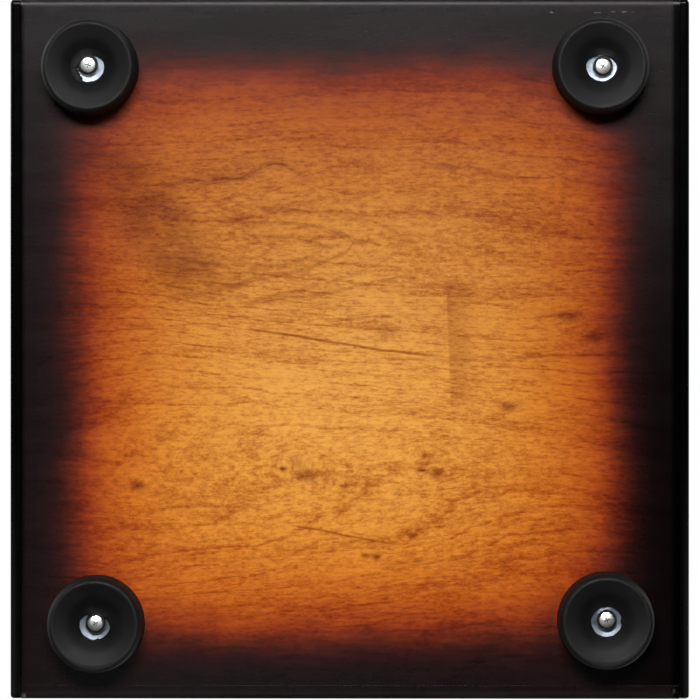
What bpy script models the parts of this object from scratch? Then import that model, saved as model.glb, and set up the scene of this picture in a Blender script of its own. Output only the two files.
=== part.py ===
"""Cajon: a plywood box drum.

Two side panels hold the seat and the bottom panel in rabbets. A thin playing plate (the tapa) is
screwed over the front and a back plate with a round sound hole is glued over the rear. Inside, battens
line the front and rear edges and a snare bar carries two fans of coiled wires that rest on the tapa.
The box stands on four rubber feet.

Metres, +Z up, the tapa faces -Y. The origin is on the floor, under the middle of the box.
"""
import math

import bmesh
import bpy
from mathutils import Matrix, Vector

# ---- driving dimensions ----
WIDTH = 0.305            # X, over the side panels
DEPTH = 0.296            # Y, over the tapa and the back plate
HEIGHT = 0.483           # Z, floor to seat
STAND = 0.018            # the feet hold the box this far off the floor
GAP = 0.0003             # clearance between neighbouring pieces

PLY = 0.0115             # sides, seat and bottom
LIP = 0.0055             # what the rabbet leaves of a side panel's thickness
TAPA_T = 0.0039
BACK_T = 0.0044
PLATE_INSET = 0.0008     # the plates stop this far short of the box's outline
PLATE_EDGE_R = 0.0015    # rounding of a plate's outer edges
PLATE_CORNER_R = 0.0030
BOX_EDGE_R = 0.0025      # rounding of the box's long outer edges

HOLE_R = 0.060           # sound hole
HOLE_Z = 0.318

FRONT_BATTEN = 0.018     # square section
REAR_BATTEN = 0.015

FOOT_INSET_X = 0.1205    # nominal place of a foot from the middle
FOOT_INSET_Y = 0.1110
FOOT_BASE_R = 0.0216
FOOT_BASE_EDGE = 0.0006  # chamfer where the foot meets the box
FOOT_SHOULDER_R = 0.0206
FOOT_RIM_OUT_R = 0.0184  # flat ring the foot stands on
FOOT_RIM_IN_R = 0.0173
FOOT_DISH = (            # (radius, height) down the dish, from the rim to the lip
    (0.0166, 0.0003), (0.0145, 0.0013), (0.0115, 0.0026), (0.0092, 0.0043), (0.0076, 0.0056),
)
FOOT_LIP_R = 0.0065      # rubber lip over the moulded-in washer
FOOT_LIP_T = 0.0006
FOOT_BORE_R = 0.0032
WASHER_SEAT_Z = 0.0068   # underside of the washer's groove
WASHER_T = 0.0010
WASHER_R = 0.0075
WASHER_HOLE_R = 0.0030
FOOT_SCREW_HEAD_R = 0.0045
FOOT_SCREW_HEAD_H = 0.0031
FOOT_SCREW_R = 0.0020
FOOT_SCREW_LENGTH = 0.0200
FOOT_SCREW_CROSS = (0.0024, 0.0009, 0.0018)     # recess: half length, width, depth

TAPA_SCREW_HEAD_R = 0.0035
TAPA_SCREW_R = 0.0015
TAPA_SCREW_LENGTH = 0.0180
TAPA_SCREW_CROSS = (0.0018, 0.0007, 0.0012)
TAPA_SCREW_EDGE = 0.0080     # from the box's outline
TAPA_SCREWS_ACROSS = 4
TAPA_SCREWS_UP = 6

BAR_SECTION = 0.020
BAR_FRONT_Y = -0.122
BAR_Z = 0.340                # underside of the snare bar
BLOCK_WIDTH = 0.022
BLOCK_DEPTH = 0.024
BLOCK_HEIGHT = 0.024
BAR_SCREW_R = 0.0018
BAR_SCREW_HEAD_R = 0.0036
BAR_SCREW_LENGTH = 0.032
BAR_SCREW_CROSS = (0.0019, 0.0007, 0.0013)

CLIP_WIDTH = 0.046
CLIP_LEG = 0.016
CLIP_LIP = 0.008
CLIP_T = 0.0010
CLIP_DROP = 0.002            # the clip's bend lies this far below the bar's top
CLIP_CENTRE_X = 0.052
CLIP_SPLAY = math.radians(15)
CLIP_SCREW_SPACING = 0.030
CLIP_SCREW_R = 0.0014
CLIP_SCREW_HEAD_R = 0.0029
CLIP_SCREW_HEAD_H = 0.0018
CLIP_SCREW_LENGTH = 0.0130
WIRE_COUNT = 10
WIRE_PITCH = 0.0044
WIRE_R = 0.0011
WIRE_LENGTH = 0.088
WIRE_START = 0.001           # up the clip's lip
SOLDER_START = 0.002
SOLDER_END = 0.005
SOLDER_T = 0.0014
SOLDER_MARGIN = 0.0005       # past the outer wires

SCREW_TIP = 0.003            # length of a screw's tapered tip
HEAD_BAND = 0.0003           # straight edge of a countersunk head
DOME_POWER = 0.7             # how full a pan head's dome is
DOME_BAND = 0.35             # share of its height below the dome
HOLE_EASE = 0.0012           # chamfer round the sound hole

# Each foot, and the screw in it, sits where a hand put it: small slips from the nominal place.
# corner: (side, end, foot slip x, foot slip y, screw slip x, screw slip y)
FEET = {
    "front_left": (-1, -1, -0.0022, 0.0017, 0.0004, -0.0005),
    "front_right": (1, -1, -0.0026, -0.0005, -0.0006, 0.0),
    "rear_left": (-1, 1, -0.0020, 0.0019, -0.0005, 0.0002),
    "rear_right": (1, 1, -0.0011, -0.0007, -0.0005, -0.0004),
}

# ---- derived places ----
HALF_W = WIDTH / 2
HALF_D = DEPTH / 2
TAPA_BACK_Y = -HALF_D + TAPA_T                # inner face of the tapa
BACK_FRONT_Y = HALF_D - BACK_T                # inner face of the back plate
BOX_FRONT_Y = TAPA_BACK_Y + GAP               # front edges of the box's panels
BOX_REAR_Y = BACK_FRONT_Y - GAP
INNER_X = HALF_W - PLY
SEAT_UNDER_Z = HEIGHT - PLY
FLOOR_PANEL_TOP_Z = STAND + PLY
RABBET_X = HALF_W - LIP                       # inner face of a lip
BAR_MIDDLE_Y = BAR_FRONT_Y + BAR_SECTION / 2
FOOT_SCREW_HEAD_Z = WASHER_SEAT_Z             # the head's underside

# ---- how finely round shapes are divided ----
FOOT_SIDES = 36
HOLE_SIDES = 72
ROUND = 24                                    # sides of a washer or a foot's screw
SMALL_ROUND = 12                              # sides of a small screw and its hole
PILOT_SIDES = 16
WIRE_SIDES = 8
ARC_STEPS = 4
CORNER_STEPS = 5
EDGE_STEPS = 3
SMOOTH_ANGLE = math.radians(32)
BEYOND = 0.001                                # how far a cutter sticks out past a surface

# ---- colours (linear) and finish: base colour, roughness, metallic ----
FINISH = {
    "stained_ply": ((0.30, 0.09, 0.025), 0.38, 0.0),
    "raw_wood": ((0.62, 0.44, 0.26), 0.75, 0.0),
    "hardwood": ((0.55, 0.33, 0.17), 0.60, 0.0),
    "rubber": ((0.02, 0.02, 0.022), 0.55, 0.0),
    "zinc": ((0.72, 0.74, 0.78), 0.25, 1.0),
    "black_screw": ((0.03, 0.03, 0.032), 0.35, 1.0),
    "snare_steel": ((0.62, 0.62, 0.60), 0.30, 1.0),
}


def material(name):
    """One Principled material per finish, made when it is first asked for."""
    if name in bpy.data.materials:
        return bpy.data.materials[name]
    colour, roughness, metallic = FINISH[name]
    made = bpy.data.materials.new(name)
    made.use_nodes = True
    shader = made.node_tree.nodes["Principled BSDF"]
    shader.inputs["Base Color"].default_value = (*colour, 1.0)
    shader.inputs["Roughness"].default_value = roughness
    shader.inputs["Metallic"].default_value = metallic
    made.diffuse_color = (*colour, 1.0)
    return made


def add_object(name, bm, finish, parent, smooth=False):
    """Turn a bmesh into a named object with its own finish."""
    bmesh.ops.recalc_face_normals(bm, faces=bm.faces)
    mesh = bpy.data.meshes.new(name)
    bm.to_mesh(mesh)
    bm.free()
    if finish:
        mesh.materials.append(material(finish))
    if smooth:
        mesh.shade_smooth()
        mesh.set_sharp_from_angle(angle=SMOOTH_ANGLE)
    made = bpy.data.objects.new(name, mesh)
    bpy.context.collection.objects.link(made)
    made.parent = parent
    return made


def add_tool(name, bm, *targets, operation="DIFFERENCE"):
    """A hidden tool body that a Boolean takes out of each target, or joins to it."""
    tool = add_object(name, bm, None, None)
    tool.hide_render = True
    tool.display_type = "WIRE"
    for target in targets:
        cut = target.modifiers.new(name, "BOOLEAN")
        cut.operation = operation
        cut.solver = "EXACT"
        cut.object = tool


# ---- shapes ----
def box(bm, low, high):
    """A block between two corners."""
    size = [high[i] - low[i] for i in range(3)]
    middle = [(high[i] + low[i]) / 2 for i in range(3)]
    place = Matrix.Translation(middle) @ Matrix.Diagonal((*size, 1.0))
    bmesh.ops.create_cube(bm, size=1.0, matrix=place)


def lathe(bm, profile, place, sides):
    """Turn a closed (radius, height) outline about the Z axis of a placement matrix.

    Points on the axis have radius 0 and become one vertex.
    """
    rings = []
    for radius, height in profile:
        if radius == 0:
            rings.append([bm.verts.new(place @ Vector((0, 0, height)))])
            continue
        ring = []
        for step in range(sides):
            turn = math.tau * step / sides
            point = Vector((radius * math.cos(turn), radius * math.sin(turn), height))
            ring.append(bm.verts.new(place @ point))
        rings.append(ring)
    for near, far in zip(rings, rings[1:] + rings[:1]):
        if len(near) == 1 and len(far) == 1:
            continue
        for step in range(sides):
            after = (step + 1) % sides
            corners = [near[step % len(near)], near[after % len(near)]]
            corners += [far[after % len(far)], far[step % len(far)]]
            bm.faces.new(list(dict.fromkeys(corners)))


def rod(bm, radius, start, end, sides):
    """A closed straight cylinder from start to end."""
    start, end = Vector(start), Vector(end)
    along = end - start
    place = Matrix.Translation(start) @ along.to_track_quat("Z", "Y").to_matrix().to_4x4()
    lathe(bm, [(0, 0), (radius, 0), (radius, along.length), (0, along.length)], place, sides)


def arc(centre, radius, start_deg, end_deg, steps):
    """Points along a circular arc in a plane, ends included."""
    points = []
    for step in range(steps + 1):
        angle = math.radians(start_deg + (end_deg - start_deg) * step / steps)
        points.append((centre[0] + radius * math.cos(angle), centre[1] + radius * math.sin(angle)))
    return points


def skirt(bm, near, far):
    """Faces between two rings of as many vertices."""
    for index in range(len(near)):
        after = (index + 1) % len(near)
        bm.faces.new([near[index], far[index], far[after], near[after]])


def prism(bm, near_points, far_points):
    """A closed solid between two outlines of as many points."""
    near = [bm.verts.new(point) for point in near_points]
    far = [bm.verts.new(point) for point in far_points]
    bm.faces.new(near)
    bm.faces.new(list(reversed(far)))
    skirt(bm, near, far)


def facing(point, direction):
    """A placement at a point, with +Z turned to the given direction."""
    return Matrix.Translation(point) @ Vector(direction).to_track_quat("Z", "Y").to_matrix().to_4x4()


def cross(bm, place, arm, width, depth):
    """A plus-shaped prism, the cutter for a cross recess."""
    half = width / 2
    quarter = [(half, half), (half, arm), (-half, arm)]
    outline = []
    for turn in range(4):
        rotation = Matrix.Rotation(turn * math.pi / 2, 2)
        outline += [rotation @ Vector(point) for point in quarter]
    near = [place @ Vector((x, y, 0)) for x, y in outline]
    far = [place @ Vector((x, y, depth)) for x, y in outline]
    prism(bm, near, far)


def pan_head_profile(under, head_r, head_h, shank_r, length):
    """A pan head hanging below height `under`, with its shank pointing up."""
    points = [(0, under - head_h)]
    for step in range(1, ARC_STEPS + 1):
        turn = math.radians(90 * step / ARC_STEPS)
        drop = head_h * (DOME_BAND + (1 - DOME_BAND) * math.cos(turn))
        points.append((head_r * math.sin(turn) ** DOME_POWER, under - drop))
    points += [(head_r, under), (shank_r, under), (shank_r, under + length - SCREW_TIP), (0, under + length)]
    return points


def countersunk_profile(head_r, shank_r, length):
    """A countersunk screw along +Z, its head just below the surface at height 0."""
    sunk = GAP / 2
    cone = sunk + HEAD_BAND
    return [(0, sunk), (head_r, sunk), (head_r, cone), (shank_r, cone + head_r - shank_r),
            (shank_r, length - SCREW_TIP), (0, length)]


def countersink_profile(head_r, shank_r, depth):
    """The cutter for a countersunk screw's hole, from above the surface to past the given depth."""
    head, shank = head_r + GAP, shank_r + GAP
    return [(0, -BEYOND), (head, -BEYOND), (head, GAP), (shank, GAP + head - shank),
            (shank, depth + BEYOND), (0, depth + BEYOND)]


# ---- places that several pieces share ----
def tapa_screw_places():
    """(x, z) of the screws around the tapa's edge: full rows at the top and the bottom, pairs between."""
    reach_x = HALF_W - TAPA_SCREW_EDGE
    low_z = STAND + TAPA_SCREW_EDGE
    high_z = HEIGHT - TAPA_SCREW_EDGE
    places = []
    for row in range(TAPA_SCREWS_UP):
        z = low_z + (high_z - low_z) * row / (TAPA_SCREWS_UP - 1)
        full = row in (0, TAPA_SCREWS_UP - 1)
        columns = TAPA_SCREWS_ACROSS if full else 2
        for column in range(columns):
            places.append((-reach_x + 2 * reach_x * column / (columns - 1), z))
    return places


def foot_places():
    """corner: (foot x, foot y, screw x, screw y)."""
    places = {}
    for corner, (side, end, slip_x, slip_y, screw_x, screw_y) in FEET.items():
        x = side * FOOT_INSET_X + slip_x
        y = end * FOOT_INSET_Y + slip_y
        places[corner] = (x, y, x + screw_x, y + screw_y)
    return places


def clip_frame(side):
    """Placement of a snare clip: local X across the wires, Y up the clip and Z towards the tapa."""
    origin = Vector((side * CLIP_CENTRE_X, BAR_FRONT_Y - GAP, BAR_Z + BAR_SECTION - CLIP_DROP))
    across = Vector((1, 0, 0))
    up = Vector((0, 0, 1))
    forward = Vector((0, -1, 0))
    axes = Matrix((across, up, forward)).transposed().to_4x4()
    splay = Matrix.Rotation(side * CLIP_SPLAY, 4, "Y")
    return Matrix.Translation(origin) @ splay @ axes


def clip_screw_places(side):
    """The two screw axes of a clip, in world space, where they meet the bar's front face."""
    frame = clip_frame(side)
    return [frame @ Vector((end * CLIP_SCREW_SPACING / 2, -CLIP_LEG / 2, 0)) for end in (-1, 1)]


def bar_screw_x(side):
    return side * (INNER_X - BLOCK_WIDTH / 2)


def wire_lean():
    """How far the wires lean forward, so that their tips rest just off the tapa."""
    start_out = CLIP_T + GAP + WIRE_R
    tip_out = (BAR_FRONT_Y - GAP) - (TAPA_BACK_Y + GAP + WIRE_R)
    return math.asin((tip_out - start_out) / WIRE_LENGTH)


# ---- the box ----
def build_side(name, side, parent):
    """A side panel: its long outer edges are rounded and a rabbet runs along its top and bottom."""
    outer, lip, inner = HALF_W, RABBET_X, INNER_X
    r = BOX_EDGE_R
    outline = arc((outer - r, STAND + r), r, 0, -90, ARC_STEPS)
    outline += [(lip, STAND), (lip, FLOOR_PANEL_TOP_Z + GAP), (inner, FLOOR_PANEL_TOP_Z + GAP)]
    outline += [(inner, SEAT_UNDER_Z - GAP), (lip, SEAT_UNDER_Z - GAP), (lip, HEIGHT)]
    outline += arc((outer - r, HEIGHT - r), r, 90, 0, ARC_STEPS)
    front = [(side * x, BOX_FRONT_Y, z) for x, z in outline]
    rear = [(side * x, BOX_REAR_Y, z) for x, z in outline]
    bm = bmesh.new()
    prism(bm, front, rear)
    panel = add_object(name, bm, "stained_ply", parent)
    cut = bmesh.new()
    for x, z in tapa_screw_places():
        if x * side > INNER_X and FLOOR_PANEL_TOP_Z < z < SEAT_UNDER_Z:
            pilot_hole(cut, x, z)
    add_tool(name + "_pilots", cut, panel)


def pilot_hole(bm, x, z):
    """Blind hole in a panel's front edge for a tapa screw."""
    start = BOX_FRONT_Y - BEYOND
    end = -HALF_D + TAPA_SCREW_LENGTH + GAP
    rod(bm, TAPA_SCREW_R + GAP, (x, start, z), (x, end, z), PILOT_SIDES)


def build_deck(name, low_z, parent):
    """The seat or the bottom panel: a flat board that lies in the side panels' rabbets."""
    reach = RABBET_X - GAP
    bm = bmesh.new()
    box(bm, (-reach, BOX_FRONT_Y, low_z), (reach, BOX_REAR_Y, low_z + PLY))
    panel = add_object(name, bm, "stained_ply", parent)
    cut = bmesh.new()
    for x, z in tapa_screw_places():
        if low_z < z < low_z + PLY:
            pilot_hole(cut, x, z)
    if low_z == STAND:
        for _, _, x, y in foot_places().values():
            top = FOOT_SCREW_HEAD_Z + FOOT_SCREW_LENGTH + GAP
            rod(cut, FOOT_SCREW_R + GAP, (x, y, STAND - BEYOND), (x, y, top), PILOT_SIDES)
    add_tool(name + "_pilots", cut, panel)


def plate(bm, y_face, y_inner):
    """A thin plate over the box's front or rear, rounded at its corners and its outer edges."""
    reach_x = HALF_W - PLATE_INSET
    low_z, high_z = STAND + PLATE_INSET / 2, HEIGHT - PLATE_INSET / 2
    r = PLATE_CORNER_R
    edge = PLATE_EDGE_R
    layers = [(0.0, y_inner)]
    towards = 1 if y_face > y_inner else -1
    for step in range(EDGE_STEPS + 1):
        turn = math.radians(90 * step / EDGE_STEPS)
        layers.append((edge * (1 - math.cos(turn)), y_face - towards * edge * (1 - math.sin(turn))))
    rings = []
    for shrink, y in layers:
        ring = []
        for x_sign, z_edge, z_sign, start in ((1, high_z, 1, 0), (-1, high_z, 1, 90),
                                              (-1, low_z, -1, 180), (1, low_z, -1, 270)):
            centre = (x_sign * (reach_x - r), z_edge - z_sign * r)
            corner = arc(centre, r - shrink, start, start + 90, CORNER_STEPS)
            ring += [bm.verts.new((x, y, z)) for x, z in corner]
        rings.append(ring)
    bm.faces.new(rings[0])
    bm.faces.new(list(reversed(rings[-1])))
    for near, far in zip(rings, rings[1:]):
        skirt(bm, near, far)


def build_tapa(parent):
    """The playing plate, with countersunk holes around its edge."""
    bm = bmesh.new()
    plate(bm, -HALF_D, TAPA_BACK_Y)
    tapa = add_object("tapa", bm, "stained_ply", parent)
    cut = bmesh.new()
    profile = countersink_profile(TAPA_SCREW_HEAD_R, TAPA_SCREW_R, TAPA_T)
    for x, z in tapa_screw_places():
        lathe(cut, profile, facing((x, -HALF_D, z), (0, 1, 0)), SMALL_ROUND)
    add_tool("tapa_holes", cut, tapa)


def build_back(parent):
    """The back plate with its round sound hole, whose outer edge is eased."""
    bm = bmesh.new()
    plate(bm, HALF_D, BACK_FRONT_Y)
    back = add_object("back_panel", bm, "stained_ply", parent)
    cut = bmesh.new()
    profile = [(0, BEYOND), (HOLE_R + HOLE_EASE + BEYOND, BEYOND), (HOLE_R, -HOLE_EASE),
               (HOLE_R, -BACK_T - BEYOND), (0, -BACK_T - BEYOND)]
    lathe(cut, profile, facing((0, HALF_D, HOLE_Z), (0, 1, 0)), HOLE_SIDES)
    add_tool("sound_hole", cut, back)


def build_battens(end, section, y_near, y_far, parent):
    """A frame of four square battens behind a plate's edges."""
    reach = INNER_X - GAP
    low, high = FLOOR_PANEL_TOP_Z + GAP, SEAT_UNDER_Z - GAP
    blocks = {
        "top": ((-reach, high - section), (reach, high)),
        "bottom": ((-reach, low), (reach, low + section)),
        "left": ((-reach, low + section + GAP), (-reach + section, high - section - GAP)),
        "right": ((reach - section, low + section + GAP), (reach, high - section - GAP)),
    }
    for place, (near, far) in blocks.items():
        bm = bmesh.new()
        box(bm, (near[0], y_near, near[1]), (far[0], y_far, far[1]))
        add_object(f"{end}_batten_{place}", bm, "raw_wood", parent)


def build_tapa_screws(parent):
    """Countersunk screws, heads just below the tapa's face."""
    profile = countersunk_profile(TAPA_SCREW_HEAD_R, TAPA_SCREW_R, TAPA_SCREW_LENGTH)
    arm, width, depth = TAPA_SCREW_CROSS
    screws, cut = [], bmesh.new()
    for number, (x, z) in enumerate(tapa_screw_places(), start=1):
        bm = bmesh.new()
        lathe(bm, profile, facing((x, -HALF_D, z), (0, 1, 0)), SMALL_ROUND)
        screws.append(add_object(f"tapa_screw_{number:02d}", bm, "black_screw", parent, smooth=True))
        start = facing((x, -HALF_D - BEYOND, z), (0, 1, 0))
        cross(cut, start, arm, width, BEYOND + GAP / 2 + depth)
    add_tool("tapa_screw_recesses", cut, *screws)


# ---- feet ----
def foot_profile():
    """Outline of a rubber foot from its bore, over its base, down its side and into its dish."""
    top = STAND - GAP
    groove_top = WASHER_SEAT_Z + GAP + WASHER_T + GAP
    shoulder = FOOT_SHOULDER_R - FOOT_RIM_OUT_R
    points = [(FOOT_BORE_R, top), (FOOT_BASE_R - FOOT_BASE_EDGE, top), (FOOT_BASE_R, top - FOOT_BASE_EDGE)]
    points += arc((FOOT_RIM_OUT_R, shoulder), shoulder, 0, -90, ARC_STEPS)
    points += [(FOOT_RIM_IN_R, 0.0), *FOOT_DISH]
    points += [(FOOT_LIP_R, WASHER_SEAT_Z - FOOT_LIP_T), (FOOT_LIP_R, WASHER_SEAT_Z)]
    points += [(WASHER_R + GAP, WASHER_SEAT_Z), (WASHER_R + GAP, groove_top), (FOOT_BORE_R, groove_top)]
    return points


def build_feet(parent):
    """Dished rubber feet, each with a washer moulded in and a pan-head screw up into the bottom panel."""
    washer_low = WASHER_SEAT_Z + GAP
    washer_profile = [(WASHER_HOLE_R, washer_low), (WASHER_R, washer_low),
                      (WASHER_R, washer_low + WASHER_T), (WASHER_HOLE_R, washer_low + WASHER_T)]
    screw_profile = pan_head_profile(FOOT_SCREW_HEAD_Z, FOOT_SCREW_HEAD_R, FOOT_SCREW_HEAD_H,
                                     FOOT_SCREW_R, FOOT_SCREW_LENGTH)
    screws, recesses = [], bmesh.new()
    for corner, (x, y, screw_x, screw_y) in foot_places().items():
        foot, washer, screw = bmesh.new(), bmesh.new(), bmesh.new()
        lathe(foot, foot_profile(), Matrix.Translation((x, y, 0)), FOOT_SIDES)
        add_object(f"foot_{corner}", foot, "rubber", parent, smooth=True)
        lathe(washer, washer_profile, Matrix.Translation((x, y, 0)), ROUND)
        add_object(f"foot_washer_{corner}", washer, "zinc", parent, smooth=True)
        lathe(screw, screw_profile, Matrix.Translation((screw_x, screw_y, 0)), ROUND)
        screws.append(add_object(f"foot_screw_{corner}", screw, "zinc", parent, smooth=True))
        low = FOOT_SCREW_HEAD_Z - FOOT_SCREW_HEAD_H - BEYOND
        arm, width, depth = FOOT_SCREW_CROSS
        cross(recesses, Matrix.Translation((screw_x, screw_y, low)), arm, width, BEYOND + depth)
    add_tool("foot_screw_recesses", recesses, *screws)


# ---- snare ----
def build_snare_bar(parent):
    """The batten behind the tapa, with pilots for the clips' screws and holes for its own two."""
    reach = INNER_X - GAP
    top = BAR_Z + BAR_SECTION
    bm = bmesh.new()
    box(bm, (-reach, BAR_FRONT_Y, BAR_Z), (reach, BAR_FRONT_Y + BAR_SECTION, top))
    bar = add_object("snare_bar", bm, "hardwood", parent)
    cut = bmesh.new()
    profile = countersink_profile(BAR_SCREW_HEAD_R, BAR_SCREW_R, BAR_SECTION)
    for side in (-1, 1):
        for place in clip_screw_places(side):
            start = (place.x, BAR_FRONT_Y - BEYOND, place.z)
            end = (place.x, BAR_FRONT_Y + CLIP_SCREW_LENGTH - CLIP_T + GAP, place.z)
            rod(cut, CLIP_SCREW_R + GAP, start, end, SMALL_ROUND)
        lathe(cut, profile, facing((bar_screw_x(side), BAR_MIDDLE_Y, top), (0, 0, -1)), PILOT_SIDES)
    add_tool("snare_bar_holes", cut, bar)


def build_snare_blocks(parent):
    """A block under each end of the bar, glued to the side panel."""
    high = BAR_Z - GAP
    low_y, high_y = BAR_MIDDLE_Y - BLOCK_DEPTH / 2, BAR_MIDDLE_Y + BLOCK_DEPTH / 2
    for side, name in ((-1, "snare_block_left"), (1, "snare_block_right")):
        near, far = sorted((side * (INNER_X - GAP), side * (INNER_X - GAP - BLOCK_WIDTH)))
        bm = bmesh.new()
        box(bm, (near, low_y, high - BLOCK_HEIGHT), (far, high_y, high))
        block = add_object(name, bm, "hardwood", parent)
        cut = bmesh.new()
        end = BAR_Z + BAR_SECTION - BAR_SCREW_LENGTH - GAP
        x = bar_screw_x(side)
        rod(cut, BAR_SCREW_R + GAP, (x, BAR_MIDDLE_Y, high + BEYOND), (x, BAR_MIDDLE_Y, end), PILOT_SIDES)
        add_tool(name + "_pilot", cut, block)


def build_bar_screws(parent):
    """Countersunk screws down through the bar's ends into the blocks."""
    profile = countersunk_profile(BAR_SCREW_HEAD_R, BAR_SCREW_R, BAR_SCREW_LENGTH)
    arm, width, depth = BAR_SCREW_CROSS
    screws, cut = [], bmesh.new()
    for side, word in ((-1, "left"), (1, "right")):
        origin = Vector((bar_screw_x(side), BAR_MIDDLE_Y, BAR_Z + BAR_SECTION))
        bm = bmesh.new()
        lathe(bm, profile, facing(origin, (0, 0, -1)), SMALL_ROUND)
        screws.append(add_object(f"snare_bar_screw_{word}", bm, "zinc", parent, smooth=True))
        start = facing(origin + Vector((0, 0, BEYOND)), (0, 0, -1))
        cross(cut, start, arm, width, BEYOND + GAP / 2 + depth)
    add_tool("snare_bar_screw_recesses", cut, *screws)


def build_snare_fan(side, word, parent):
    """One half of the snare: a bent steel clip and the coiled wires that leave it towards the tapa."""
    frame = clip_frame(side)
    lean = wire_lean()
    along = Vector((0, math.cos(lean), math.sin(lean)))     # up the wires, in the clip's frame
    out = Vector((0, -math.sin(lean), math.cos(lean)))      # off the clip's lip
    build_clip(side, word, frame, along, out, parent)
    build_wires(word, frame, along, out, parent)


def build_clip(side, word, frame, along, out, parent):
    """A strip of steel: a leg screwed to the bar and a lip that leans forward under the wires."""
    half = CLIP_WIDTH / 2
    tip = along * CLIP_LIP
    outline = [Vector((0, -CLIP_LEG, 0)), Vector((0, 0, 0)), tip, tip + out * CLIP_T,
               Vector((0, 0, CLIP_T)), Vector((0, -CLIP_LEG, CLIP_T))]
    bm = bmesh.new()
    near = [bm.verts.new(frame @ (point + Vector((-half, 0, 0)))) for point in outline]
    far = [bm.verts.new(frame @ (point + Vector((half, 0, 0)))) for point in outline]
    for ring in (near, far):
        bm.faces.new([ring[0], ring[1], ring[4], ring[5]])
        bm.faces.new([ring[1], ring[2], ring[3], ring[4]])
    skirt(bm, near, far)
    clip = add_object(f"snare_clip_{word}", bm, "snare_steel", parent)
    cut = bmesh.new()
    behind, before = Vector((0, BEYOND, 0)), Vector((0, -CLIP_T - BEYOND, 0))
    for place in clip_screw_places(side):
        rod(cut, CLIP_SCREW_R + GAP, place + behind, place + before, PILOT_SIDES)
    add_tool(f"snare_clip_{word}_holes", cut, clip)


def build_wires(word, frame, along, out, parent):
    """A fan of wires that are one piece: a line of solder across their feet joins them."""
    wires, solder = bmesh.new(), bmesh.new()
    half = (WIRE_COUNT - 1) / 2 * WIRE_PITCH
    lift = out * (CLIP_T + GAP + WIRE_R)
    for index in range(WIRE_COUNT):
        across = Vector((index * WIRE_PITCH - half, 0, 0))
        start = frame @ (across + lift + along * WIRE_START)
        end = frame @ (across + lift + along * WIRE_LENGTH)
        rod(wires, WIRE_R, start, end, WIRE_SIDES)
    reach = half + WIRE_R + SOLDER_MARGIN
    low, high = along * SOLDER_START, along * SOLDER_END
    rear, front = out * (CLIP_T + GAP), out * (CLIP_T + GAP + SOLDER_T)
    corners = [low + rear, high + rear, high + front, low + front]
    prism(solder, [frame @ (corner - Vector((reach, 0, 0))) for corner in corners],
          [frame @ (corner + Vector((reach, 0, 0))) for corner in corners])
    fan = add_object(f"snare_wires_{word}", solder, "snare_steel", parent, smooth=True)
    add_tool(f"snare_wires_{word}_strands", wires, fan, operation="UNION")


def build_clip_screws(parent):
    """Small pan-head screws that hold the clips on the bar."""
    profile = pan_head_profile(0.0, CLIP_SCREW_HEAD_R, CLIP_SCREW_HEAD_H, CLIP_SCREW_R, CLIP_SCREW_LENGTH)
    for side, word in ((-1, "left"), (1, "right")):
        for number, place in enumerate(clip_screw_places(side), start=1):
            seat = place - Vector((0, CLIP_T + GAP, 0))
            bm = bmesh.new()
            lathe(bm, profile, facing(seat, (0, 1, 0)), SMALL_ROUND)
            add_object(f"snare_clip_screw_{word}_{number}", bm, "zinc", parent, smooth=True)


def main():
    for old in list(bpy.data.objects):
        bpy.data.objects.remove(old, do_unlink=True)
    cajon = bpy.data.objects.new("cajon", None)
    bpy.context.collection.objects.link(cajon)

    build_side("side_panel_left", -1, cajon)
    build_side("side_panel_right", 1, cajon)
    build_deck("top_panel", SEAT_UNDER_Z, cajon)
    build_deck("bottom_panel", STAND, cajon)
    build_tapa(cajon)
    build_back(cajon)
    build_battens("front", FRONT_BATTEN, BOX_FRONT_Y, BOX_FRONT_Y + FRONT_BATTEN, cajon)
    build_battens("rear", REAR_BATTEN, BOX_REAR_Y - REAR_BATTEN, BOX_REAR_Y, cajon)
    build_tapa_screws(cajon)
    build_feet(cajon)
    build_snare_bar(cajon)
    build_snare_blocks(cajon)
    build_bar_screws(cajon)
    build_snare_fan(-1, "left", cajon)
    build_snare_fan(1, "right", cajon)
    build_clip_screws(cajon)


main()
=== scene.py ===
"""The looks of a sunburst cajon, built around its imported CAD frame.

Metres, +Z up, the tapa (playing plate) faces -Y and the box stands on four rubber feet at z = 0.
The main camera looks straight up at the underside.
"""
import math

import bmesh
import bpy
from mathutils import Matrix, Vector, noise


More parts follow.
